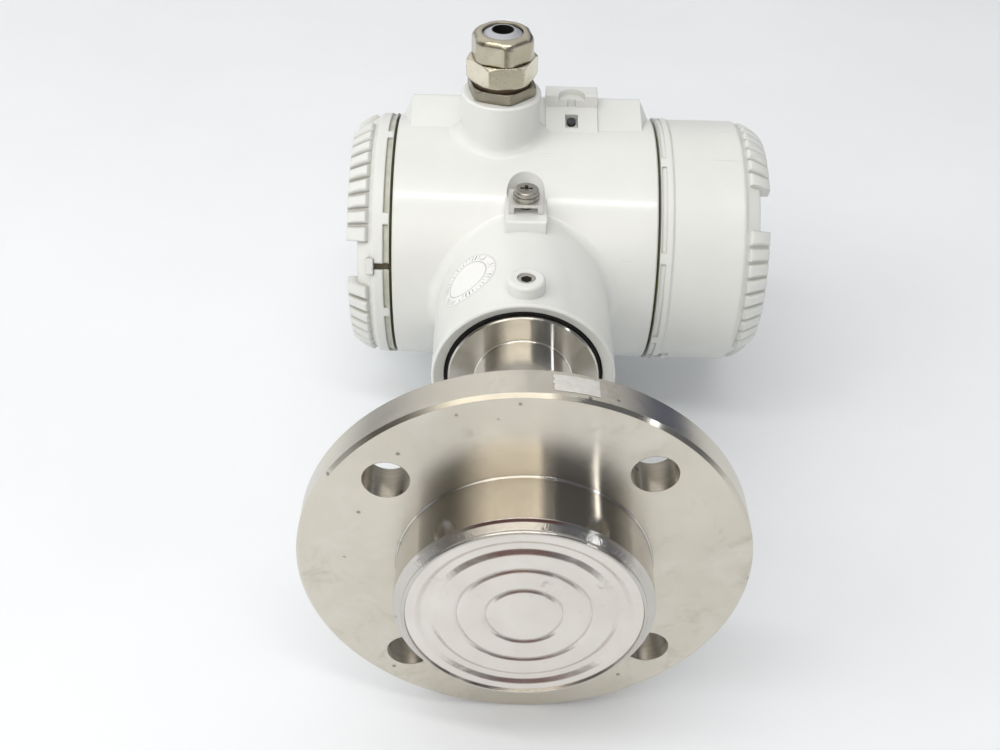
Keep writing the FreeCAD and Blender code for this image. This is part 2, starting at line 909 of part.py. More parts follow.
def cover_outline(side, length, inner_steps, collar_length, collar_rise):
    end = cover_start + length
    floor = end - crown_height
    grip = end - grip_length
    crown = barrel_radius - grip_drop
    seal_floor = cover_start + cover_seal_thickness / 2 + cover_gap / 4 + cover_seal_clearance
    seal_outer = seal_ring_radius + cover_seal_thickness / 2 + cover_seal_clearance * 2
    steps = [
        (cover_start - cover_spigot_length, spigot_bore),
        (cover_start - cover_spigot_length, spigot_radius),
        (seal_floor, spigot_radius),
        (seal_floor, seal_outer),
        (cover_start, seal_outer),
        (cover_start, barrel_radius + collar_rise),
    ]
    if collar_rise > 0:
        steps.append((cover_start + collar_length, barrel_radius + collar_rise))
        steps.append((cover_start + collar_length + collar_rise, barrel_radius))
    ramp_end = grip + grip_step_length + grip_band + rib_ramp_length
    ramp_top = grip_ground(grip_step_length + grip_band) + rib_ramp_rise
    tip = crown + grip_edge / 2
    steps = steps + [
        (grip - shoulder_lead, barrel_radius),
        (grip, barrel_radius - shoulder_drop),
        (grip + grip_step_length, grip_ground(grip_step_length)),
        (ramp_end - rib_ramp_length, ramp_top - rib_ramp_rise),
        (ramp_end, ramp_top),
        ((ramp_end + end - grip_edge) / 2, (ramp_top + tip) / 2 + grip_bulge, end - grip_edge, tip),
        (end, crown - grip_edge / 2),
        (end, crown - crown_width),
        (floor, crown - crown_width),
    ]
    steps = steps + inner_steps
    return turned(barrel_axis, along_x * side, steps)


def cut_grip(cover, side, length, notch_angle):
    # Rounded ribs in four groups on the tapered end, with a notch between the groups.
    end = cover_start + length
    floor = end - crown_height
    quarter = 360 / grip_notch_count
    recess = barrel_radius - grip_drop - crown_width
    tools = []
    for group in range(grip_notch_count):
        middle = notch_angle + quarter * group
        tools.append(sector(side * end, side * floor, barrel_radius, recess, middle, grip_notch_angle))
        tools.append(grip_recess(side, length, middle))
        for number in range(rib_count - 1):
            angle = middle + quarter / 2 + rib_pitch * (number + 1 - rib_count / 2)
            tools.append(rib_groove(side, length, angle))
    return cover.cut(tools)


def grip_recess(side, length, middle):
    # Takes the ribs' metal away down to the ground, between two groups of ribs.
    end = cover_start + length
    band = grip_step_length + grip_band
    start = end - grip_length + band
    outline = [
        on_barrel(side * start, grip_ground(band), 0),
        on_barrel(side * end, grip_ground(grip_length), 0),
        on_barrel(side * end, barrel_radius, 0),
        on_barrel(side * start, barrel_radius, 0),
    ]
    wedge = Part.Face(closed_wire(outline)).revolve(barrel_axis, along_x, grip_notch_angle)
    if wedge.Volume < 0:
        wedge.reverse()
    wedge.rotate(barrel_axis, along_x, middle - grip_notch_angle / 2)
    return wedge


def rib_groove(side, length, angle):
    # The gap between two rounded ribs: two arcs that curve away from a narrow floor.
    end = cover_start + length
    lead = grip_step_length + grip_band / 2
    start = end - grip_length + lead
    first = on_barrel(side * start, grip_ground(lead) - rib_groove_sink, angle)
    last = on_barrel(side * end, grip_ground(grip_length) - rib_groove_sink, angle)
    run = last - first
    across = on_barrel(0, 1, angle + 90) - barrel_axis
    up = across.cross(run) * side
    up.normalize()
    half = math.radians(rib_pitch / 2) * barrel_radius * (1 - grip_drop / barrel_radius / 4)
    foot = half - math.sqrt(rib_rounding ** 2 - (rib_rounding - rib_height) ** 2)
    turn = (half + foot) / 2
    rise = math.sqrt(rib_rounding ** 2 - (half - turn) ** 2) + rib_height - rib_rounding

    def spot(sideways, height):
        return first + across * sideways + up * height

    top = 2 * rib_height
    edges = [
        Part.LineSegment(spot(-foot, 0), spot(foot, 0)).toShape(),
        Part.Arc(spot(foot, 0), spot(turn, rise), spot(half, rib_height)).toShape(),
        Part.LineSegment(spot(half, rib_height), spot(half, top)).toShape(),
        Part.LineSegment(spot(half, top), spot(-half, top)).toShape(),
        Part.LineSegment(spot(-half, top), spot(-half, rib_height)).toShape(),
        Part.Arc(spot(-half, rib_height), spot(-turn, rise), spot(-foot, 0)).toShape(),
    ]
    return Part.Face(Part.Wire(edges)).extrude(run * 1.2)


def cut_rim(cover, side, strip_depth, strip_angle, top):
    start = side * (cover_start + rim_strip_start)
    end = start + side * rim_strip_width
    gap = 360 / rim_tab_count - rim_tab_angle
    tools = []
    for number in range(rim_tab_count):
        middle = strip_angle + 360 / rim_tab_count * (number + 0.5)
        tools.append(sector(start, end, top, barrel_radius - strip_depth, middle, gap))
    return cover.cut(Part.makeCompound(tools))


def add_lock(cover, side, angle, top):
    start = side * cover_start
    end = start + side * lock_slot_length
    lug_end = end + side * lock_lug_length
    slot_spread = math.degrees(lock_slot_width / barrel_radius)
    lug_spread = math.degrees(lock_lug_width / barrel_radius)
    bottom = barrel_radius - lock_slot_depth
    cover = cover.fuse(sector(end, lug_end, barrel_radius + lock_lug_rise, bottom, angle, lug_spread))
    return cover.cut(sector(start, end, top, bottom, angle, slot_spread))


def make_terminal_cover():
    inner = cover_start + terminal_cover_length - crown_height - cover_wall
    steps = [
        (cover_start + terminal_cover_length - crown_height, 0),
        (inner, 0),
        (inner, spigot_bore),
    ]
    cover = cover_outline(-1, terminal_cover_length, steps, 0, 0)
    cover = cut_grip(cover, -1, terminal_cover_length, terminal_notch_angle)
    cover = cut_rim(cover, -1, terminal_strip_depth, terminal_strip_angle, barrel_radius)
    return add_lock(cover, -1, terminal_lock_angle, barrel_radius)


window_wall_inner = cover_start + display_cover_length - crown_height - cover_wall
window_face = window_wall_inner - window_gasket_height
window_back = window_face - window_thickness
window_ring_back = window_back - window_ring_height
window_seat_radius = window_diameter / 2 + window_clearance


def make_display_cover():
    outer_face = cover_start + display_cover_length - crown_height
    steps = [
        (outer_face, window_opening / 2),
        (window_wall_inner, window_opening / 2),
        (window_wall_inner, window_seat_radius),
        (window_ring_back, window_seat_radius),
        (window_ring_back, window_seat_radius + window_seat_wall),
        (window_ring_back - window_seat_wall, spigot_bore),
    ]
    cover = cover_outline(1, display_cover_length, steps, display_collar_length, display_collar_rise)
    cover = cut_grip(cover, 1, display_cover_length, display_notch_angle)
    top = barrel_radius + display_collar_rise
    cover = cut_rim(cover, 1, display_strip_depth, display_strip_angle, top)
    return add_lock(cover, 1, display_lock_angle, top)


def ring_about_barrel(start, end, outer, inner):
    first = Vector(start, axis_y, 0)
    last = Vector(end, axis_y, 0)
    ring = rod(first, last, outer)
    return ring.cut(rod(first, last, inner)) if inner else ring


def make_window():
    return rod(Vector(window_back, axis_y, 0), Vector(window_face, axis_y, 0), window_diameter)


def make_window_gasket():
    return ring_about_barrel(window_face, window_wall_inner, window_diameter, window_opening)


def make_window_ring():
    inner = window_diameter - 2 * window_ring_width
    return ring_about_barrel(window_ring_back, window_back, window_diameter, inner)


def make_cover_seal(side):
    middle = Vector(side * (cover_start + cover_gap / 4), axis_y, 0)
    return Part.makeTorus(seal_ring_radius, cover_seal_thickness / 2, middle, along_x)


# Terminal chamber

def make_terminal_block():
    left = partition_start - terminal_block_depth
    half_width = terminal_block_width / 2
    half_height = terminal_block_height / 2
    across = (axis_y - half_width, axis_y + half_width)
    block = box((left, partition_start), across, (-half_height, half_height))
    for spot in terminal_spots():
        bay = (spot - terminal_bay_width / 2, spot + terminal_bay_width / 2)
        block = block.cut(box((left, left + terminal_bay_depth), bay, (-terminal_bay_width / 2, half_height)))
        seat = Vector(left + terminal_bay_depth, spot, 0)
        hole = terminal_screw_shank + fastener_clearance
        block = block.cut(rod(seat, seat + along_x * terminal_screw_depth, hole))
    outlet = Vector(left, axis_y + feedthrough_offset, 0)
    return block.cut(rod(outlet, outlet + along_x * terminal_block_depth, feedthrough_diameter + 1))


def terminal_spots():
    return [axis_y + terminal_pitch * (number - (terminal_count - 1) / 2) for number in range(terminal_count)]


def make_terminal_screws():
    seat = partition_start - terminal_block_depth + terminal_bay_depth
    screws = []
    for spot in terminal_spots():
        foot = Vector(seat, spot, 0)
        head = foot - along_x * terminal_screw_head_height
        screw = rod(foot, head, terminal_screw_head)
        screw = screw.fuse(rod(foot, foot + along_x * terminal_screw_depth, terminal_screw_shank))
        slot_half = terminal_screw_head / 12
        slot = box((head.x, head.x + terminal_screw_head_height / 2), (spot - slot_half, spot + slot_half),
                   (-terminal_screw_head, terminal_screw_head))
        screws.append(screw.cut(slot))
    return Part.makeCompound(screws)


def make_feedthrough():
    middle = Vector((partition_start + partition_end) / 2, axis_y + feedthrough_offset, 0)
    half = along_x * (feedthrough_length / 2)
    sleeve = along_x * (partition_thickness / 2)
    plug = rod(middle - sleeve, middle + sleeve, feedthrough_diameter - fastener_clearance)
    for shift in (-feedthrough_diameter / 5, feedthrough_diameter / 5):
        pin = middle + along_z * shift
        plug = plug.fuse(rod(pin - half, pin + half, feedthrough_diameter / 8))
    return plug


# Electronics chamber

module_start = partition_end + standoff_length
module_end = barrel_half_length - module_recess
display_start = module_end + standoff_length
display_end = display_start + display_depth


def make_standoffs(start, end):
    posts = []
    for number in range(standoff_count):
        angle = 360 / standoff_count * number
        foot = on_barrel(start, standoff_circle / 2, angle)
        posts.append(rod(foot, foot + along_x * (end - start), standoff_diameter))
    return Part.makeCompound(posts)


def make_module():
    step = module_diameter / 12
    return turned(barrel_axis, along_x, [
        (module_start, 0),
        (module_start, module_diameter / 2),
        (module_end - step, module_diameter / 2),
        (module_end, module_diameter / 2 - step),
        (module_end, 0),
    ])


def make_display():
    half_width = display_panel_width / 2
    half_height = display_panel_height / 2
    body = rod(Vector(display_start, axis_y, 0), Vector(display_end, axis_y, 0), display_diameter)
    pocket = box((display_end - display_panel_thickness / 2, display_end),
                 (axis_y - half_width, axis_y + half_width), (-half_height, half_height))
    return body.cut(pocket)


def make_display_panel():
    half_width = display_panel_width / 2 - window_clearance
    half_height = display_panel_height / 2 - window_clearance
    start = display_end - display_panel_thickness / 2
    return box((start, start + display_panel_thickness),
               (axis_y - half_width, axis_y + half_width), (-half_height, half_height))


def make_parts():
    return {
        "process_flange": make_flange(),
        "extension_body": make_extension(),
        "isolating_diaphragm": make_diaphragm(),
        "sensor_body": make_sensor_body(),
        "sensor_capsule": make_capsule(),
        "capillary_tube": make_capillary(),
        "neck_seal": make_neck_seal(),
        "housing": make_housing(),
        "rotation_screw": make_rotation_screw(),
        "cover_lock_pins": make_cover_lock_pins(),
        "recess_screw": make_recess_screw(),
        "ground_clamp": make_ground_clamp(),
        "ground_washer": make_ground_washer(),
        "ground_screw": make_ground_screw(),
        "gland_locknut": make_gland_locknut(),
        "gland_washer": make_gland_washer(),
        "gland_body": make_gland_body(),
        "gland_seal": make_gland_seal(),
        "gland_insert": make_gland_insert(),
        "gland_nut": make_gland_nut(),
        "entry_plug": make_entry_plug(),
        "terminal_cover": make_terminal_cover(),
        "terminal_cover_seal": make_cover_seal(-1),
        "display_cover": make_display_cover(),
        "display_cover_seal": make_cover_seal(1),
        "display_window": make_window(),
        "window_gasket": make_window_gasket(),
        "window_ring": make_window_ring(),
        "terminal_block": make_terminal_block(),
        "terminal_screws": make_terminal_screws(),
        "feedthrough": make_feedthrough(),
        "module_standoffs": make_standoffs(partition_end, module_start),
        "electronics_module": make_module(),
        "display_standoffs": make_standoffs(module_end, display_start),
        "display_module": make_display(),
        "display_panel": make_display_panel(),
    }


os.makedirs("parts", exist_ok=True)
for name, shape in make_parts().items():
    shape.exportStep("parts/" + name + ".step")
    print(name, len(shape.Solids), round(shape.Volume, 1), shape.isValid())
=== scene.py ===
import bpy
import math
import random
from mathutils import Matrix, Vector


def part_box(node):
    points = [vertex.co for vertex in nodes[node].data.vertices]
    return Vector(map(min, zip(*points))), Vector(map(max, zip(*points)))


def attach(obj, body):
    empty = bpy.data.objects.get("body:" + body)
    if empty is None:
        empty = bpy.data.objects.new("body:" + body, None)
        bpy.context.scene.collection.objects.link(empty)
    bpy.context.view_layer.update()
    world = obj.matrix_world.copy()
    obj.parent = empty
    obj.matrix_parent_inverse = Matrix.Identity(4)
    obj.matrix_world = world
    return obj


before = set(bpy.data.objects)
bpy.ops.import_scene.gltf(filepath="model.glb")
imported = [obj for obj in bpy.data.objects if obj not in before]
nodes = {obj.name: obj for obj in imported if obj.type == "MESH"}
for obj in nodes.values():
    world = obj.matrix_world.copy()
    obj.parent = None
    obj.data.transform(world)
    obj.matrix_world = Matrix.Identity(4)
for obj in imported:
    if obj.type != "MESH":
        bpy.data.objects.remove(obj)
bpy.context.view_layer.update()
scene = bpy.context.scene
print("frame loaded:", len(nodes), "nodes")

barrelAxisY = 0.1855
neckRadius = 0.0335
sampling = {"edges": 4, "corners": 6}  # rays for rounded edges and for the dirt and painted shade in corners


# node helpers

def startMaterial(name):
    mat = bpy.data.materials.new(name)
    mat.use_nodes = True
    tree = mat.node_tree
    return mat, tree, tree.nodes["Principled BSDF"]


def feed(tree, socket, value):
    if isinstance(value, bpy.types.NodeSocket):
        tree.links.new(value, socket)
    else:
        socket.default_value = value


def put(tree, kind, inputs=None, **settings):
    node = tree.nodes.new(kind)
    for key, value in settings.items():
        setattr(node, key, value)
    for key, value in (inputs or {}).items():
        feed(tree, node.inputs[key], value)
    return node


def calc(tree, operation, a, b=0.0):
    return put(tree, "ShaderNodeMath", {0: a, 1: b}, operation=operation).outputs[0]


def product(tree, a, b):
    return calc(tree, "MULTIPLY", a, b)


def total(tree, a, b):
    return calc(tree, "ADD", a, b)


def mixColour(tree, factor, a, b):
    # sockets 6, 7 and 2 are the colours of this node
    return put(tree, "ShaderNodeMix", {0: factor, 6: a, 7: b}, data_type="RGBA").outputs[2]


def spread(tree, value, low, high, outLow=0.0, outHigh=1.0):
    inputs = {0: value, 1: low, 2: high, 3: outLow, 4: outHigh}
    return put(tree, "ShaderNodeMapRange", inputs, clamp=True).outputs[0]


def objectPlace(tree):
    return tree.nodes.new("ShaderNodeTexCoord").outputs["Object"]


def apart(tree, place):
    return put(tree, "ShaderNodeSeparateXYZ", {0: place}).outputs


def radiusAbout(tree, first, second):
    squares = total(tree, product(tree, first, first), product(tree, second, second))
    return calc(tree, "SQRT", squares)


def stretched(tree, place, scale, turn=(0, 0, 0)):
    return put(tree, "ShaderNodeMapping", {"Vector": place, "Rotation": turn, "Scale": scale}).outputs[0]


def cloud(tree, place, scale, detail=2.0, rough=0.5, distort=0.0):
    inputs = {"Vector": place, "Scale": scale, "Detail": detail, "Roughness": rough, "Distortion": distort}
    return put(tree, "ShaderNodeTexNoise", inputs).outputs[0]


def cells(tree, place, scale):
    return put(tree, "ShaderNodeTexVoronoi", {"Vector": place, "Scale": scale}, feature="F1").outputs


def bumped(tree, height, strength, distance, normal=None):
    inputs = {"Height": height, "Strength": strength, "Distance": distance}
    if normal is not None:
        inputs["Normal"] = normal
    return put(tree, "ShaderNodeBump", inputs).outputs[0]


def softEdges(tree, radius):
    return put(tree, "ShaderNodeBevel", {"Radius": radius}, samples=sampling["edges"]).outputs[0]


def edgeMask(tree, soft, low, high):
    # one where the rounded normal leaves the true one
    true = tree.nodes.new("ShaderNodeNewGeometry").outputs["Normal"]
    match = put(tree, "ShaderNodeVectorMath", {0: soft, 1: true}, operation="DOT_PRODUCT").outputs["Value"]
    return spread(tree, calc(tree, "SUBTRACT", 1.0, match), low, high)


def crevice(tree, distance, low, high):
    # one in corners and gaps, nought in the open
    shade = put(tree, "ShaderNodeAmbientOcclusion", {"Distance": distance}, samples=sampling["corners"],
                only_local=False)
    return spread(tree, shade.outputs["AO"], low, high, 1.0, 0.0)


def dress(tree, shader, colour, rough, normal):
    feed(tree, shader.inputs["Base Color"], colour)
    feed(tree, shader.inputs["Roughness"], rough)
    feed(tree, shader.inputs["Normal"], normal)


def paintNodes(names, mat):
    for name in names:
        data = nodes[name].data
        data.materials.clear()
        data.materials.append(mat)


# In the dictionaries below a noise gives scale, detail, roughness and distortion, as far as it needs them.
# A range gives low and high, and then what they turn into where that isn't nought and one.
# "corners" gives how far dirt and painted shade reach out of a corner, and the range of shade that holds
# them.


# painted castings

housingPaint = {
    "colour": (0.735, 0.745, 0.720, 1), "shade": (0.69, 0.70, 0.672, 1), "dirtAndShade": (0.26, 0.25, 0.20, 1),
    "roughness": (0.32, 0.44), "coat": 0.55, "coatRoughness": 0.14, "edge": 0.0005,
    "peelNoise": (420, 2, 0.5), "peel": 0.05, "grimeAndShade": (0.08, 0.26), "corners": (0.0030, 0.25, 0.80),
}
coverPaint = {
    "colour": (0.72, 0.73, 0.705, 1), "shade": (0.665, 0.675, 0.645, 1), "dirtAndShade": (0.26, 0.25, 0.20, 1),
    "roughness": (0.42, 0.55), "coat": 0.18, "coatRoughness": 0.30, "edge": 0.0012,
    "peelNoise": (520, 2, 0.5), "peel": 0.10, "grimeAndShade": (0.12, 0.32), "corners": (0.0030, 0.25, 0.80),
}
# the short cover has more dirt between its ribs, and a deeper painted shade in its grooves
ribShadedCoverPaint = dict(coverPaint, grimeAndShade=(0.50, 0.80), corners=(0.0045, 0.40, 0.90))
paintWear = {
    "patches": (22, 4, 0.6), "shadeRange": (0.35, 0.75), "glossRange": (0.25, 0.75), "grimeAndShadeRange": (0.3, 0.7),
    "rub": (1.0, 5, 0.7, 0.6), "rubStretch": (35, 240, 160), "rubTurn": (0.2, 0.5, 0.9),
    "rubRange": (0.66, 0.80, 0.0, 0.30),
    "dustScale": 95.0, "dustRange": (0.02, 0.05, 0.5, 0.0), "sparse": (13, 2), "sparseRange": (0.54, 0.68),
    "chips": (160, 3), "chipRange": (0.5, 0.7), "chipEdge": (0.02, 0.25), "chipAmount": 0.35,
    "chipColour": (0.80, 0.80, 0.78, 1),
    "peelDepth": 0.0003, "coatPeel": 0.5, "specular": 0.5,
}
# the sunk strip round the short cover's open end, and the deeper faces beside it in the gap to the housing,
# which get a painted shade
coverStrip = {
    "inside": -0.0524, "outside": -0.0541, "radius": 0.0491, "colour": (0.46, 0.47, 0.37, 1),
    "worn": (0.60, 0.60, 0.53, 1), "noise": (190, 3), "wornRange": (0.35, 0.7),
    "gapShadeOutside": -0.0579, "gapShadeRadius": 0.0484, "gapShadeColour": (0.10, 0.085, 0.05, 1),
}


def stripColour(tree, place, colour, strip):
    parts = apart(tree, place)
    radius = radiusAbout(tree, calc(tree, "SUBTRACT", parts[1], barrelAxisY), parts[2])
    inStrip = calc(tree, "LESS_THAN", radius, strip["radius"])
    inStrip = product(tree, inStrip, calc(tree, "LESS_THAN", parts[0], strip["inside"]))
    inStrip = product(tree, inStrip, calc(tree, "GREATER_THAN", parts[0], strip["outside"]))
    worn = spread(tree, cloud(tree, place, *strip["noise"]), *strip["wornRange"])
    bare = mixColour(tree, worn, strip["colour"], strip["worn"])
    colour = mixColour(tree, inStrip, colour, bare)
    # painted shade: the deeper faces in the gap to the housing are painted near black
    inShadedGap = calc(tree, "LESS_THAN", radius, strip["gapShadeRadius"])
    inShadedGap = product(tree, inShadedGap, calc(tree, "GREATER_THAN", parts[0], strip["gapShadeOutside"]))
    return mixColour(tree, inShadedGap, colour, strip["gapShadeColour"])


def makePaint(name, spec, wear, strip=None):
    mat, tree, shader = startMaterial(name)
    place = objectPlace(tree)
    patches = cloud(tree, place, *wear["patches"])
    colour = mixColour(tree, spread(tree, patches, *wear["shadeRange"]), spec["colour"], spec["shade"])
    # rubbed streaks, thin and few
    rub = cloud(tree, stretched(tree, place, wear["rubStretch"], wear["rubTurn"]), *wear["rub"])
    colour = mixColour(tree, spread(tree, rub, *wear["rubRange"]), colour, spec["dirtAndShade"])
    # specks of dust
    dust = spread(tree, cells(tree, place, wear["dustScale"])["Distance"], *wear["dustRange"])
    sparse = spread(tree, cloud(tree, place, *wear["sparse"]), *wear["sparseRange"])
    colour = mixColour(tree, product(tree, dust, sparse), colour, spec["dirtAndShade"])
    # grime that settles in corners, with painted shade in the same corners
    cornerDarkening = spread(tree, patches, *wear["grimeAndShadeRange"], *spec["grimeAndShade"])
    grimeAndShade = product(tree, crevice(tree, *spec["corners"]), cornerDarkening)
    colour = mixColour(tree, grimeAndShade, colour, spec["dirtAndShade"])
    # paler paint on rubbed edges
    soft = softEdges(tree, spec["edge"])
    chance = spread(tree, cloud(tree, place, *wear["chips"]), *wear["chipRange"])
    worn = product(tree, edgeMask(tree, soft, *wear["chipEdge"]), chance)
    colour = mixColour(tree, product(tree, worn, wear["chipAmount"]), colour, wear["chipColour"])
    if strip:
        colour = stripColour(tree, place, colour, strip)
    rough = spread(tree, patches, *wear["glossRange"], *spec["roughness"])
    peel = cloud(tree, place, *spec["peelNoise"])
    dress(tree, shader, colour, rough, bumped(tree, peel, spec["peel"], wear["peelDepth"], soft))
    coatNormal = bumped(tree, peel, spec["peel"] * wear["coatPeel"], wear["peelDepth"], soft)
    feed(tree, shader.inputs["Coat Normal"], coatNormal)
    shader.inputs["Specular IOR Level"].default_value = wear["specular"]
    shader.inputs["Coat Weight"].default_value = spec["coat"]
    shader.inputs["Coat Roughness"].default_value = spec["coatRoughness"]
    return mat


paintNodes(["housing"], makePaint("paintHousing", housingPaint, paintWear))
paintNodes(["terminal_cover"], makePaint("paintTerminalCover", ribShadedCoverPaint, paintWear, coverStrip))
paintNodes(["display_cover"], makePaint("paintDisplayCover", coverPaint, paintWear))
print("paint done")


# turned stainless steel

turnedSteel = {
    "colour": (0.685, 0.645, 0.56, 1), "shade": (0.62, 0.58, 0.495, 1), "stain": (0.36, 0.33, 0.27, 1),
    "haze": (0.74, 0.71, 0.65, 1), "roughness": (0.16, 0.21), "anisotropy": 1.0,
    "grooves": 2600, "groove": 0.05, "edge": 0.0002, "specks": 0.65,
    "holes": {"centre": 0.0389, "radius": 0.00715, "turn": 0.0611, "rings": (1.0, 3, 0.6),
              "ringStretch": (60, 1500, 60), "ringHeight": 30.0, "stainRange": (0.3, 0.7, 0.15, 0.55),
              "duller": 0.30},
}
polishedSteel = {
    "colour": (0.60, 0.575, 0.535, 1), "shade": (0.55, 0.525, 0.485, 1), "stain": (0.42, 0.39, 0.34, 1),
    "haze": (0.63, 0.615, 0.58, 1), "roughness": (0.10, 0.14), "anisotropy": 0.90,
    "grooves": 3400, "groove": 0.035, "edge": 0.00025, "specks": 0.35,
    "rim": {"from": -0.0171, "beads": (420, 3, 0.6, 0.6), "beadHeight": 50.0, "duller": 0.12},
}
# a lighter copy of the turned steel: painted light, for the bright flange back that the head's stem reflects
litHeadSteel = {
    "colour": (0.75, 0.725, 0.675, 1), "shade": (0.70, 0.675, 0.625, 1), "stain": (0.50, 0.47, 0.42, 1),
    "haze": (0.77, 0.745, 0.70, 1), "roughness": (0.13, 0.18), "anisotropy": 1.0,
    "grooves": 3400, "groove": 0.035, "edge": 0.00025, "specks": 0.2,
}
steelWear = {
    "marks": (3, 0.6), "bands": (2, 0.5), "groovesPerBand": 9,
    "bandRange": (0.3, 0.8, 0.0, 0.20), "bandHeight": 0.8,
    "patches": (26, 4, 0.6), "shadeRange": (0.35, 0.72), "glossRange": (0.3, 0.75),
    "stains": (120, 5, 0.7, 0.8), "stainRange": (0.52, 0.70, 0.0, 0.55),
    "stainPlaces": (19, 2), "stainPlaceRange": (0.46, 0.62),
    "haze": (48, 5, 0.65, 1.2), "hazeRange": (0.50, 0.72, 0.0, 0.5),
    "corners": (0.010, 0.15, 0.70), "cornerAmount": 0.55,
    "pitScale": 60.0, "pitRange": (0.025, 0.05, 0.8, 0.0), "pitPlaceRange": (0.50, 0.58),
    "pitColour": (0.12, 0.11, 0.09, 1),
    "speckScale": 110.0, "speckRange": (0.05, 0.095), "speckFrom": 0.40,
    "speckColour": (0.10, 0.09, 0.075, 1),
    "scratches": (1.0, 3, 0.7), "scratchStretch": (60, 900, 700), "scratchTurn": (0.3, 0.2, 0.7),
    "scratchRange": (0.68, 0.78, 0.0, 0.05),
    "markDepth": 0.00008, "smearTurn": 0.25,
}


def makeTurnedSteel(name, spec, wear):
    mat, tree, shader = startMaterial(name)
    place = objectPlace(tree)
    parts = apart(tree, place)
    # turning marks run round the axis, so they change only with radius and length
    latheParts = {0: radiusAbout(tree, parts[0], parts[2]), 1: parts[1]}
    lathe = put(tree, "ShaderNodeCombineXYZ", latheParts).outputs[0]
    marks = cloud(tree, lathe, spec["grooves"], *wear["marks"])
    bands = cloud(tree, lathe, spec["grooves"] / wear["groovesPerBand"], *wear["bands"])
    patches = cloud(tree, place, *wear["patches"])
    colour = mixColour(tree, spread(tree, patches, *wear["shadeRange"]), spec["colour"], spec["shade"])
    colour = mixColour(tree, spread(tree, bands, *wear["bandRange"]), colour, spec["shade"])
    # dull water stains in a few places, under a pale haze
    stain = spread(tree, cloud(tree, place, *wear["stains"]), *wear["stainRange"])
    stained = spread(tree, cloud(tree, place, *wear["stainPlaces"]), *wear["stainPlaceRange"])
    colour = mixColour(tree, product(tree, stain, stained), colour, spec["stain"])
    haze = spread(tree, cloud(tree, place, *wear["haze"]), *wear["hazeRange"])
    colour = mixColour(tree, haze, colour, spec["haze"])
    # the oil and dust that stay in holes and corners, and painted shade in the same places
    oilAndShade = product(tree, crevice(tree, *wear["corners"]), wear["cornerAmount"])
    colour = mixColour(tree, oilAndShade, colour, spec["stain"])
    # small pits
    pit = spread(tree, cells(tree, place, wear["pitScale"])["Distance"], *wear["pitRange"])
    pit = product(tree, pit, spread(tree, patches, *wear["pitPlaceRange"]))
    colour = mixColour(tree, pit, colour, wear["pitColour"])
    # black specks, one in some of the cells
    speckCells = cells(tree, place, wear["speckScale"])
    lot = put(tree, "ShaderNodeSeparateColor", {0: speckCells["Color"]}).outputs[0]
    chosen = calc(tree, "GREATER_THAN", lot, wear["speckFrom"])
    speck = spread(tree, speckCells["Distance"], *wear["speckRange"], spec["specks"], 0.0)
    colour = mixColour(tree, product(tree, speck, chosen), colour, wear["speckColour"])
    # fine scratches are a little duller
    rough = spread(tree, patches, *wear["glossRange"], *spec["roughness"])
    drawn = stretched(tree, place, wear["scratchStretch"], wear["scratchTurn"])
    scratch = cloud(tree, drawn, *wear["scratches"])
    rough = total(tree, rough, spread(tree, scratch, *wear["scratchRange"]))
    height = total(tree, marks, product(tree, bands, wear["bandHeight"]))
    if "rim" in spec:
        # the welded rim round the diaphragm is duller and a little uneven
        rim = spec["rim"]
        onRim = calc(tree, "LESS_THAN", parts[1], rim["from"])
        rough = total(tree, rough, product(tree, onRim, rim["duller"]))
        beads = product(tree, cloud(tree, place, *rim["beads"]), onRim)
        height = total(tree, height, product(tree, beads, rim["beadHeight"]))
    if "holes" in spec:
        # the walls of the four bolt holes are duller, with the rings that a drill leaves, and their colour is
        # darkened as painted shade
        holes = spec["holes"]
        turnedParts = apart(tree, stretched(tree, place, (1, 1, 1), (0, holes["turn"], 0)))
        fromHole = [calc(tree, "SUBTRACT", calc(tree, "ABSOLUTE", turnedParts[axis]), holes["centre"])
                    for axis in (0, 2)]
        inHole = calc(tree, "LESS_THAN", radiusAbout(tree, *fromHole), holes["radius"])
        rings = cloud(tree, stretched(tree, place, holes["ringStretch"]), *holes["rings"])
        rough = total(tree, rough, product(tree, inHole, holes["duller"]))
        height = total(tree, height, product(tree, product(tree, rings, inHole), holes["ringHeight"]))
        # drill rings, over a painted shade that darkens each whole hole wall
        ringMarksAndShade = product(tree, inHole, spread(tree, rings, *holes["stainRange"]))
        colour = mixColour(tree, ringMarksAndShade, colour, spec["stain"])
    soft = softEdges(tree, spec["edge"])
    dress(tree, shader, colour, rough, bumped(tree, height, spec["groove"], wear["markDepth"], soft))
    tangent = put(tree, "ShaderNodeTangent", direction_type="RADIAL", axis="Y").outputs[0]
    feed(tree, shader.inputs["Tangent"], tangent)
    shader.inputs["Metallic"].default_value = 1.0
    shader.inputs["Anisotropic"].default_value = spec["anisotropy"]
    shader.inputs["Anisotropic Rotation"].default_value = wear["smearTurn"]
    return mat


paintNodes(["process_flange"], makeTurnedSteel("turnedFlange", turnedSteel, steelWear))
paintNodes(["extension_body"], makeTurnedSteel("turnedExtension", polishedSteel, steelWear))
paintNodes(["sensor_body"], makeTurnedSteel("turnedHeadLit", litHeadSteel, steelWear))

diaphragmFoil = {
    "colour": (0.775, 0.735, 0.685, 1), "shade": (0.71, 0.67, 0.615, 1), "smudge": (0.34, 0.31, 0.26, 1),
    "roughness": (0.17, 0.27), "edge": 0.00062,
    "patches": (55, 4, 0.6), "shadeRange": (0.35, 0.75), "glossRange": (0.3, 0.75),
    "smudges": (330, 4, 0.7, 0.8), "smudgeRange": (0.57, 0.70, 0.0, 0.55),
    "smudgePlaces": (62, 2), "smudgePlaceRange": (0.54, 0.66),
    "wrinkles": (100, 3, 0.55, 0.4), "crinkle": 0.19, "crinkleDepth": 0.0012,
    "grain": (1500, 2, 0.5), "grainAmount": 0.04, "grainDepth": 0.0001,
}


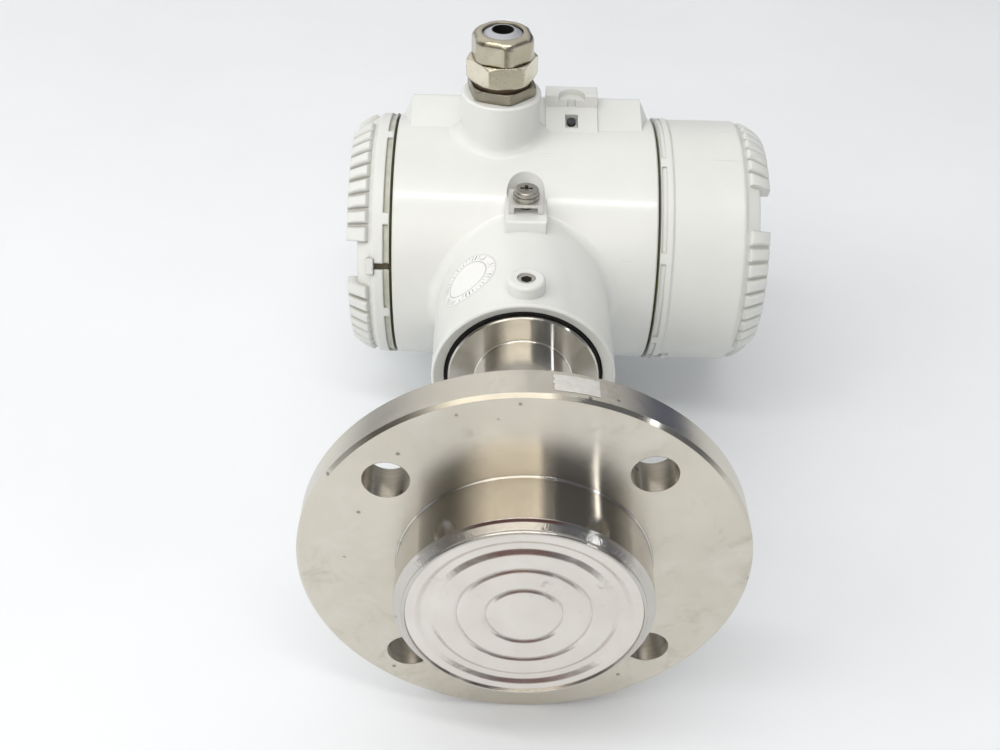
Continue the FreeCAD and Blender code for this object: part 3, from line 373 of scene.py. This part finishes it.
def makeFoil(name, spec):
    mat, tree, shader = startMaterial(name)
    place = objectPlace(tree)
    patches = cloud(tree, place, *spec["patches"])
    colour = mixColour(tree, spread(tree, patches, *spec["shadeRange"]), spec["colour"], spec["shade"])
    # small smudges in a few places
    smudge = spread(tree, cloud(tree, place, *spec["smudges"]), *spec["smudgeRange"])
    smudged = spread(tree, cloud(tree, place, *spec["smudgePlaces"]), *spec["smudgePlaceRange"])
    colour = mixColour(tree, product(tree, smudge, smudged), colour, spec["smudge"])
    rough = spread(tree, patches, *spec["glossRange"], *spec["roughness"])
    wrinkle = cloud(tree, place, *spec["wrinkles"])
    normal = bumped(tree, wrinkle, spec["crinkle"], spec["crinkleDepth"], softEdges(tree, spec["edge"]))
    grain = cloud(tree, place, *spec["grain"])
    normal = bumped(tree, grain, spec["grainAmount"], spec["grainDepth"], normal)
    dress(tree, shader, colour, rough, normal)
    shader.inputs["Metallic"].default_value = 1.0
    return mat


paintNodes(["isolating_diaphragm"], makeFoil("diaphragmFoil", diaphragmFoil))
print("steel done")


# plated brass and plain steel: grime, dirt together with painted shade in corners, gives how far it reaches
# out of a corner, and how much of it there is

nutPlate = {
    "colour": (0.56, 0.515, 0.405, 1), "shade": (0.50, 0.455, 0.35, 1), "dirtAndShade": (0.13, 0.11, 0.07, 1),
    "roughness": (0.20, 0.28), "grain": 0.03, "edge": 0.0009, "grimeAndShade": (0.0025, 0.6),
}
glandPlate = {
    "colour": (0.82, 0.765, 0.625, 1), "shade": (0.77, 0.715, 0.575, 1), "dirtAndShade": (0.13, 0.11, 0.07, 1),
    "roughness": (0.22, 0.30), "grain": 0.03, "edge": 0.0009, "grimeAndShade": (0.0025, 0.5),
}
lockPlate = {
    "colour": (0.35, 0.325, 0.26, 1), "shade": (0.30, 0.275, 0.215, 1), "dirtAndShade": (0.10, 0.085, 0.055, 1),
    "roughness": (0.24, 0.36), "grain": 0.05, "edge": 0.0006, "grimeAndShade": (0.0025, 0.7),
}
smallSteel = {
    "colour": (0.62, 0.60, 0.56, 1), "shade": (0.50, 0.485, 0.45, 1), "dirtAndShade": (0.09, 0.08, 0.065, 1),
    "roughness": (0.26, 0.42), "grain": 0.12, "edge": 0.00025, "grimeAndShade": (0.0025, 0.7),
}
screwSteel = {
    "colour": (0.50, 0.48, 0.43, 1), "shade": (0.36, 0.345, 0.31, 1), "dirtAndShade": (0.015, 0.014, 0.012, 1),
    "roughness": (0.20, 0.34), "grain": 0.12, "edge": 0.00025, "grimeAndShade": (0.0014, 1.0),
}
clampPlate = {
    "colour": (0.88, 0.87, 0.84, 1), "shade": (0.80, 0.79, 0.76, 1), "dirtAndShade": (0.38, 0.36, 0.31, 1),
    "roughness": (0.46, 0.60), "grain": 0.08, "edge": 0.0003, "grimeAndShade": (0.0016, 0.7),
}
darkSteel = {
    "colour": (0.11, 0.11, 0.115, 1), "shade": (0.07, 0.07, 0.075, 1), "dirtAndShade": (0.02, 0.02, 0.02, 1),
    "roughness": (0.35, 0.5), "grain": 0.12, "edge": 0.0002, "grimeAndShade": (0.0025, 0.7),
}
plateWear = {
    "patches": (160, 4, 0.6), "shadeRange": (0.35, 0.7), "glossRange": (0.3, 0.7), "grimeAndShadeRange": (0.2, 0.8),
    "grainNoise": (2600, 3, 0.6), "grainDepth": 0.0001,
}


def makePlate(name, spec, wear):
    mat, tree, shader = startMaterial(name)
    place = objectPlace(tree)
    patches = cloud(tree, place, *wear["patches"])
    colour = mixColour(tree, spread(tree, patches, *wear["shadeRange"]), spec["colour"], spec["shade"])
    # dirt and painted shade darken the plating in corners
    reach, amount = spec["grimeAndShade"]
    grimeAndShade = product(tree, crevice(tree, reach, *wear["grimeAndShadeRange"]), amount)
    colour = mixColour(tree, grimeAndShade, colour, spec["dirtAndShade"])
    rough = spread(tree, patches, *wear["glossRange"], *spec["roughness"])
    grain = cloud(tree, place, *wear["grainNoise"])
    normal = bumped(tree, grain, spec["grain"], wear["grainDepth"], softEdges(tree, spec["edge"]))
    dress(tree, shader, colour, rough, normal)
    shader.inputs["Metallic"].default_value = 1.0
    return mat


paintNodes(["gland_nut"], makePlate("nutPlate", nutPlate, plateWear))
paintNodes(["gland_body", "entry_plug"], makePlate("glandPlate", glandPlate, plateWear))
paintNodes(["gland_locknut"], makePlate("lockPlate", lockPlate, plateWear))
paintNodes(["ground_clamp"], makePlate("clampPlate", clampPlate, plateWear))
paintNodes(["ground_washer", "ground_screw"], makePlate("screwSteel", screwSteel, plateWear))
paintNodes(["rotation_screw", "terminal_screws", "module_standoffs", "display_standoffs", "window_ring",
            "capillary_tube"], makePlate("smallSteel", smallSteel, plateWear))
paintNodes(["recess_screw", "cover_lock_pins"], makePlate("darkSteel", darkSteel, plateWear))


# rubber, plastics and glass

blackRubber = {
    "colour": (0.008, 0.008, 0.008, 1), "shade": (0.018, 0.018, 0.017, 1), "roughness": (0.45, 0.6),
    "grain": 0.2, "scale": 1800, "specular": 0.22,
}
oliveRubber = {
    "colour": (0.13, 0.14, 0.05, 1), "shade": (0.17, 0.17, 0.08, 1), "roughness": (0.42, 0.6),
    "grain": 0.2, "scale": 1800, "specular": 0.35,
}
brownFibre = {
    "colour": (0.055, 0.036, 0.018, 1), "shade": (0.09, 0.06, 0.03, 1), "roughness": (0.38, 0.55),
    "grain": 0.2, "scale": 1800, "specular": 0.5,
}
greyPlastic = {
    "colour": (0.42, 0.43, 0.46, 1), "shade": (0.36, 0.37, 0.40, 1), "roughness": (0.38, 0.5),
    "grain": 0.12, "scale": 1500, "specular": 0.5,
}
darkPlastic = {
    "colour": (0.035, 0.037, 0.04, 1), "shade": (0.05, 0.052, 0.055, 1), "roughness": (0.42, 0.58),
    "grain": 0.15, "scale": 1300, "specular": 0.5,
}
paleLcd = {
    "colour": (0.36, 0.41, 0.33, 1), "shade": (0.33, 0.38, 0.30, 1), "roughness": (0.12, 0.18),
    "grain": 0.02, "scale": 900, "specular": 0.5,
}
mouldedFinish = {
    "patches": (120, 3, 0.55), "shadeRange": (0.35, 0.7), "glossRange": (0.3, 0.7),
    "grainNoise": (3, 0.6), "grainDepth": 0.0001, "edge": 0.0003,
}
windowGlass = {
    "colour": (0.93, 0.965, 0.955, 1), "ior": 1.47,
    "smears": (70, 4, 0.6), "smearRange": (0.35, 0.75, 0.01, 0.07),
}


def makeMoulded(name, spec, finish):
    mat, tree, shader = startMaterial(name)
    place = objectPlace(tree)
    patches = cloud(tree, place, *finish["patches"])
    colour = mixColour(tree, spread(tree, patches, *finish["shadeRange"]), spec["colour"], spec["shade"])
    rough = spread(tree, patches, *finish["glossRange"], *spec["roughness"])
    grain = cloud(tree, place, spec["scale"], *finish["grainNoise"])
    normal = bumped(tree, grain, spec["grain"], finish["grainDepth"], softEdges(tree, finish["edge"]))
    dress(tree, shader, colour, rough, normal)
    shader.inputs["Specular IOR Level"].default_value = spec["specular"]
    return mat


def makeWindowGlass(name, spec):
    mat, tree, shader = startMaterial(name)
    smear = cloud(tree, objectPlace(tree), *spec["smears"])
    feed(tree, shader.inputs["Roughness"], spread(tree, smear, *spec["smearRange"]))
    shader.inputs["Base Color"].default_value = spec["colour"]
    shader.inputs["Transmission Weight"].default_value = 1.0
    shader.inputs["IOR"].default_value = spec["ior"]
    return mat


rubberMat = makeMoulded("blackRubber", blackRubber, mouldedFinish)
paintNodes(["neck_seal", "gland_seal", "window_gasket"], rubberMat)
paintNodes(["gland_washer"], makeMoulded("brownFibre", brownFibre, mouldedFinish))
paintNodes(["terminal_cover_seal", "display_cover_seal"],
           makeMoulded("oliveRubber", oliveRubber, mouldedFinish))
paintNodes(["gland_insert"], makeMoulded("greyPlastic", greyPlastic, mouldedFinish))
paintNodes(["terminal_block", "feedthrough", "sensor_capsule", "electronics_module", "display_module"],
           makeMoulded("darkPlastic", darkPlastic, mouldedFinish))
paintNodes(["display_panel"], makeMoulded("paleLcd", paleLcd, mouldedFinish))
paintNodes(["display_window"], makeWindowGlass("windowGlass", windowGlass))
print("small materials done")


# small pieces that the solids leave to the scene

def addPiece(name, points, faces, mat, body, smooth=True):
    mesh = bpy.data.meshes.new(name)
    mesh.from_pydata(points, [], faces)
    mesh.polygons.foreach_set("use_smooth", [smooth] * len(faces))
    mesh.materials.append(mat)
    piece = bpy.data.objects.new(name, mesh)
    scene.collection.objects.link(piece)
    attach(piece, body)
    return piece


def roundY(radius, angle, along):
    # a point on a cylinder about the process axis, angle from straight up towards +X
    return (radius * math.sin(angle), along, radius * math.cos(angle))


def thicken(piece, thickness):
    layer = piece.modifiers.new("thickness", "SOLIDIFY")
    layer.thickness = thickness
    layer.offset = 0.0


# the ring and the circle are given as shares of the radius
sticker = {
    "radius": 0.0125, "angle": math.radians(-40), "along": 0.117, "lift": 0.00008, "thickness": 0.0001,
    "rings": 16, "segments": 72, "paper": (0.79, 0.79, 0.78, 1), "fibre": (0.72, 0.72, 0.70, 1),
    "ink": (0.11, 0.11, 0.13, 1), "roughness": 0.45,
    "ticks": 44, "tickRange": (0.55, 0.75), "ringInside": (0.74, 0.77), "ringOutside": (0.93, 0.96, 1.0, 0.0),
    "circleInside": (0.66, 0.68), "circleOutside": (0.70, 0.72, 0.45, 0.0),
    "wear": (260, 3), "wearRange": (0.40, 0.58),
    "fibres": (900, 3), "fibreRange": (0.3, 0.7, 0.0, 0.12), "fibreHeight": 0.05, "fibreDepth": 0.0001,
}


def makeStickerPaper(name, spec):
    # white paper with a ring of short marks and a thin circle inside it
    mat, tree, shader = startMaterial(name)
    parts = apart(tree, tree.nodes.new("ShaderNodeUVMap").outputs[0])
    out = radiusAbout(tree, parts[0], parts[1])
    turn = calc(tree, "ARCTAN2", parts[1], parts[0])
    wave = calc(tree, "SINE", product(tree, turn, float(spec["ticks"])))
    ring = product(tree, spread(tree, out, *spec["ringInside"]), spread(tree, out, *spec["ringOutside"]))
    marks = product(tree, spread(tree, wave, *spec["tickRange"]), ring)
    place = objectPlace(tree)
    worn = spread(tree, cloud(tree, place, *spec["wear"]), *spec["wearRange"])
    marks = product(tree, marks, worn)
    circle = spread(tree, out, *spec["circleInside"])
    circle = product(tree, circle, spread(tree, out, *spec["circleOutside"]))
    ink = calc(tree, "MAXIMUM", marks, circle)
    fibre = cloud(tree, place, *spec["fibres"])
    paper = mixColour(tree, spread(tree, fibre, *spec["fibreRange"]), spec["paper"], spec["fibre"])
    feed(tree, shader.inputs["Base Color"], mixColour(tree, ink, paper, spec["ink"]))
    feed(tree, shader.inputs["Normal"], bumped(tree, fibre, spec["fibreHeight"], spec["fibreDepth"]))
    shader.inputs["Roughness"].default_value = spec["roughness"]
    return mat


def makeSticker(spec):
    flat, faces = [(0, 0)], []
    count = spec["segments"]
    for ring in range(1, spec["rings"] + 1):
        share = ring / spec["rings"]
        for number in range(count):
            turn = 2 * math.pi * number / count
            flat.append((share * math.cos(turn), share * math.sin(turn)))
    for number in range(count):
        faces.append((0, 1 + number, 1 + (number + 1) % count))
    for ring in range(spec["rings"] - 1):
        inner, outer = 1 + ring * count, 1 + (ring + 1) * count
        for number in range(count):
            after = (number + 1) % count
            faces.append((inner + number, outer + number, outer + after, inner + after))
    # the disc is bent round the neck
    lifted = neckRadius + spec["lift"]
    points = [roundY(lifted, spec["angle"] + x * spec["radius"] / lifted, spec["along"] + y * spec["radius"])
              for x, y in flat]
    paper = makeStickerPaper("stickerPaper", spec)
    piece = addPiece("neckSticker", points, faces, paper, "housing")
    layer = piece.data.uv_layers.new(name="flat")
    for loop in piece.data.loops:
        layer.data[loop.index].uv = flat[loop.vertex_index]
    thicken(piece, spec["thickness"])


makeSticker(sticker)

foilLabel = {
    "radius": 0.0700, "lift": 0.00010, "angles": (math.radians(4.5), math.radians(15.8)),
    "along": (0.0026, 0.0096), "steps": (64, 24), "thickness": 0.00008,
    "seed": 7, "ragged": 0.0012, "crinkle": 0.00006,
    "colour": (0.78, 0.76, 0.71, 1), "shade": (0.68, 0.66, 0.62, 1),
    "metallic": 0.5, "roughness": (0.34, 0.48),
    "patches": (420, 4, 0.6), "shadeRange": (0.35, 0.7), "glossRange": (0.3, 0.7),
    "dents": (700, 2, 0.5), "dentAmount": 0.18, "dentDepth": 0.0003,
}


def makeLabelFoil(name, spec):
    mat, tree, shader = startMaterial(name)
    place = objectPlace(tree)
    patches = cloud(tree, place, *spec["patches"])
    colour = mixColour(tree, spread(tree, patches, *spec["shadeRange"]), spec["colour"], spec["shade"])
    rough = spread(tree, patches, *spec["glossRange"], *spec["roughness"])
    dents = cloud(tree, place, *spec["dents"])
    dress(tree, shader, colour, rough, bumped(tree, dents, spec["dentAmount"], spec["dentDepth"]))
    shader.inputs["Metallic"].default_value = spec["metallic"]
    return mat


def makeFoilLabel(spec):
    # a blank strip of foil on the flange's rim, crinkled, with one torn end
    chance = random.Random(spec["seed"])
    across, long = spec["steps"]
    first, last = spec["angles"]
    near, far = spec["along"]
    points, faces = [], []
    for row in range(long + 1):
        along = near + (far - near) * row / long
        torn = spec["ragged"] * chance.random() / spec["radius"]
        for column in range(across + 1):
            angle = first + torn + (last - first - torn) * column / across
            lift = spec["lift"] + spec["crinkle"] * (chance.random() - 0.5)
            points.append(roundY(spec["radius"] + lift, angle, along))
    for row in range(long):
        for column in range(across):
            corner = row * (across + 1) + column
            faces.append((corner, corner + 1, corner + across + 2, corner + across + 1))
    foil = makeLabelFoil("labelFoil", spec)
    piece = addPiece("rimLabel", points, faces, foil, "process_connection")
    thicken(piece, spec["thickness"])


makeFoilLabel(foilLabel)

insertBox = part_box("gland_insert")
cableLip = {
    "centre": ((insertBox[0][0] + insertBox[1][0]) / 2, (insertBox[0][1] + insertBox[1][1]) / 2),
    "insertTop": insertBox[1][2], "lift": 0.00004, "depth": 0.0085, "bore": 0.0039,
    "teeth": 22, "root": 0.0041, "tip": 0.0044,
}


def makeCableLip(spec):
    # small rubber teeth that fold over the edge of the insert's hole, and a black sleeve down the hole that
    # is painted shade
    points, faces = [], []
    count = spec["teeth"] * 2
    middleX, middleY = spec["centre"]
    top = spec["insertTop"] + spec["lift"]
    for number in range(count):
        turn = 2 * math.pi * number / count
        edge = spec["tip"] if number % 2 else spec["root"]
        for radius, level in ((edge, top), (spec["bore"], top), (spec["bore"], top - spec["depth"])):
            points.append((middleX + radius * math.cos(turn), middleY + radius * math.sin(turn), level))
    for number in range(count):
        here, after = 3 * number, 3 * ((number + 1) % count)
        for part in range(2):
            faces.append((here + part, after + part, after + part + 1, here + part + 1))
    addPiece("cableLip", points, faces, rubberMat, "gland_insert", smooth=False)


makeCableLip(cableLip)
print("small pieces done")


# floor, lights, camera

floorSpec = {
    "level": -0.0700, "half": 4.0, "split": -0.24, "fade": (0.80, 1.35), "roughness": 0.6,
    "colour": (0.825, 0.845, 0.87, 1), "shade": (0.79, 0.81, 0.835, 1),
    "patches": (5, 4, 0.6), "shadeRange": (0.35, 0.7),
}


def makeFloorPart(name, near, far, spec, mat):
    mesh = bpy.data.meshes.new(name)
    half = spec["half"]
    mesh.from_pydata([(-half, near, 0), (half, near, 0), (half, far, 0), (-half, far, 0)], [], [(0, 1, 2, 3)])
    mesh.materials.append(mat)
    part = bpy.data.objects.new(name, mesh)
    part.location = (0, 0, spec["level"])
    scene.collection.objects.link(part)
    return part


def makeFloor(spec):
    mat, tree, shader = startMaterial("paleFloor")
    place = objectPlace(tree)
    patches = spread(tree, cloud(tree, place, *spec["patches"]), *spec["shadeRange"])
    feed(tree, shader.inputs["Base Color"], mixColour(tree, patches, spec["colour"], spec["shade"]))
    shader.inputs["Roughness"].default_value = spec["roughness"]
    # far from the object the floor runs out into the plain background, with no line between them
    parts = apart(tree, place)
    seen = tree.nodes.new("ShaderNodeLightPath").outputs["Is Camera Ray"]
    far = product(tree, spread(tree, radiusAbout(tree, parts[0], parts[1]), *spec["fade"]), seen)
    clear = tree.nodes.new("ShaderNodeBsdfTransparent").outputs[0]
    both = put(tree, "ShaderNodeMixShader", {0: far, 1: shader.outputs[0], 2: clear})
    tree.links.new(both.outputs[0], tree.nodes["Material Output"].inputs[0])
    makeFloorPart("floor", spec["split"], spec["half"], spec, mat)
    # behind the camera the steel mirrors the room's soft falloff instead of a white floor
    ahead = makeFloorPart("floorAhead", -spec["half"], spec["split"], spec, mat)
    ahead.visible_glossy = False


makeFloor(floorSpec)

# place, aim, size, watts, and whether it shows in reflections
lights = {
    "stripOverhead": ((-0.15, -0.42, 1.55), (0, 0.12, 0), (1.7, 0.12), 7, True),
    "softLeft": ((-1.25, -0.45, 0.95), (0, 0.1, 0), (0.9, 0.9), 10, False),
    "softFront": ((-0.15, -1.5, 0.75), (0, 0.12, 0.02), (1.2, 0.8), 5, False),
}


def areaLight(name, place, aim, size, power, mirrored):
    data = bpy.data.lights.new(name, "AREA")
    data.shape = "RECTANGLE"
    data.size, data.size_y = size
    data.energy = power
    lamp = bpy.data.objects.new(name, data)
    lamp.visible_glossy = mirrored
    lamp.location = place
    lamp.rotation_euler = (Vector(aim) - Vector(place)).to_track_quat("-Z", "Y").to_euler()
    scene.collection.objects.link(lamp)


for lampName, lampSpec in lights.items():
    areaLight(lampName, *lampSpec)

# the room that the steel reflects, as patches: azimuth to the right of straight ahead of the flange, then
# elevation, both as low and high in degrees, then how soft the edges are in each, then the colour
studio = {
    "plain": (0.90, 0.91, 0.925, 1), "plainStrength": 0.95, "strength": 0.745,
    "horizon": (0.62, 0.64, 0.68, 1), "zenith": (1.0, 1.0, 1.0, 1), "zenithRange": (0.0, 0.9),
    "patches": {
        "frontFloor": ((-110, 110), (-90, -10), (10, 10), (1.20, 1.19, 1.17, 1)),
        "frontDark": ((-50, 50), (-13, 30), (8, 11), (0.26, 0.245, 0.22, 1)),
        "frontWarm": ((-44, 40), (32, 66), (5, 20), (3.1, 2.90, 2.55, 1)),
        "frontGrey": ((-44, 14), (49, 74), (5, 3), (1.05, 1.0, 0.92, 1)),
        "frontLeft": ((-100, -50), (8, 45), (3, 6), (0.14, 0.135, 0.12, 1)),
        "frontRight": ((60, 115), (2, 45), (3, 6), (0.26, 0.25, 0.235, 1)),
        "frontCool": ((14, 80), (2, 58), (1.5, 3.0), (0.19, 0.20, 0.225, 1)),
        "frontPale": ((-24, 16), (-40, -1), (4, 3), (1.0, 0.98, 0.95, 1)),
        "frontRed": ((-24, 16), (1, 16), (4, 3), (0.17, 0.065, 0.07, 1)),
        "backBright": ((100, 180), (20, 62), (6, 6), (0.95, 0.95, 0.95, 1)),
        "backBrightLeft": ((-180, -100), (20, 62), (6, 6), (1.25, 1.25, 1.25, 1)),
        "backDark": ((118, 168), (-10, 22), (4, 4), (0.10, 0.12, 0.19, 1)),
    },
    # a bright gap that leans the way the turned steel smears it, so it stays thin
    "slit": {"azimuth": 42.3, "elevation": 14.0, "lean": 1.18, "half": 1.7, "limits": (4, 36),
             "soft": (0.9, 1.5), "tint": (7.8, 8.0, 8.4, 1)},
}


def limitMask(tree, value, limits, soft):
    low, high, edge = math.radians(limits[0]), math.radians(limits[1]), math.radians(soft)
    rise = spread(tree, value, low - edge, low + edge)
    fall = spread(tree, value, high - edge, high + edge, 1.0, 0.0)
    return product(tree, rise, fall)


def patchMask(tree, azimuth, elevation, across, up, soft):
    return product(tree, limitMask(tree, azimuth, across, soft[0]), limitMask(tree, elevation, up, soft[1]))


def makeStudio(spec):
    world = bpy.data.worlds.new("studio")
    scene.world = world
    world.use_nodes = True
    tree = world.node_tree
    lit = tree.nodes["Background"]
    parts = apart(tree, tree.nodes.new("ShaderNodeTexCoord").outputs["Generated"])
    azimuth = calc(tree, "ARCTAN2", parts[0], product(tree, parts[1], -1.0))
    elevation = calc(tree, "ARCSINE", parts[2])
    colour = mixColour(tree, spread(tree, elevation, *spec["zenithRange"]), spec["horizon"], spec["zenith"])
    for across, up, soft, tint in spec["patches"].values():
        colour = mixColour(tree, patchMask(tree, azimuth, elevation, across, up, soft), colour, tint)
    slit = spec["slit"]
    rise = calc(tree, "SUBTRACT", elevation, math.radians(slit["elevation"]))
    upright = calc(tree, "SUBTRACT", azimuth, product(tree, rise, slit["lean"]))
    sides = (slit["azimuth"] - slit["half"], slit["azimuth"] + slit["half"])
    inside = patchMask(tree, upright, elevation, sides, slit["limits"], slit["soft"])
    colour = mixColour(tree, inside, colour, slit["tint"])
    feed(tree, lit.inputs[0], colour)
    lit.inputs[1].default_value = spec["strength"]
    # the picture itself shows a plain background
    plain = put(tree, "ShaderNodeBackground", {0: spec["plain"], 1: spec["plainStrength"]})
    seen = tree.nodes.new("ShaderNodeLightPath").outputs["Is Camera Ray"]
    both = put(tree, "ShaderNodeMixShader", {0: seen, 1: lit.outputs[0], 2: plain.outputs[0]})
    tree.links.new(both.outputs[0], tree.nodes["World Output"].inputs[0])


makeStudio(studio)

# angles in radians, place in metres, focal length and width in pixels, sensor in millimetres
cameraSpec = {
    "yaw": 0.006, "pitch": 0.689, "roll": -0.027, "place": (-0.01054, -0.26309, 0.29353),
    "focal": 1266.342, "width": 1000, "sensor": 36.0, "nearest": 0.01,
}


def makeCamera(spec):
    yaw, pitch, roll = spec["yaw"], spec["pitch"], spec["roll"]
    ahead = Vector((math.sin(yaw) * math.cos(pitch), math.cos(yaw) * math.cos(pitch), -math.sin(pitch)))
    right = Vector((math.cos(yaw), -math.sin(yaw), 0))
    down = ahead.cross(right)
    turnedRight = right * math.cos(roll) + down * math.sin(roll)
    turnedDown = down * math.cos(roll) - right * math.sin(roll)
    data = bpy.data.cameras.new("photoCamera")
    data.sensor_width = spec["sensor"]
    data.lens = spec["focal"] * spec["sensor"] / spec["width"]
    data.clip_start = spec["nearest"]
    camera = bpy.data.objects.new("photoCamera", data)
    axes = Matrix((turnedRight, -turnedDown, -ahead)).transposed().to_4x4()
    camera.matrix_world = Matrix.Translation(spec["place"]) @ axes
    scene.collection.objects.link(camera)
    scene.camera = camera


makeCamera(cameraSpec)
scene.view_settings.view_transform = "Standard"
print("stage done")
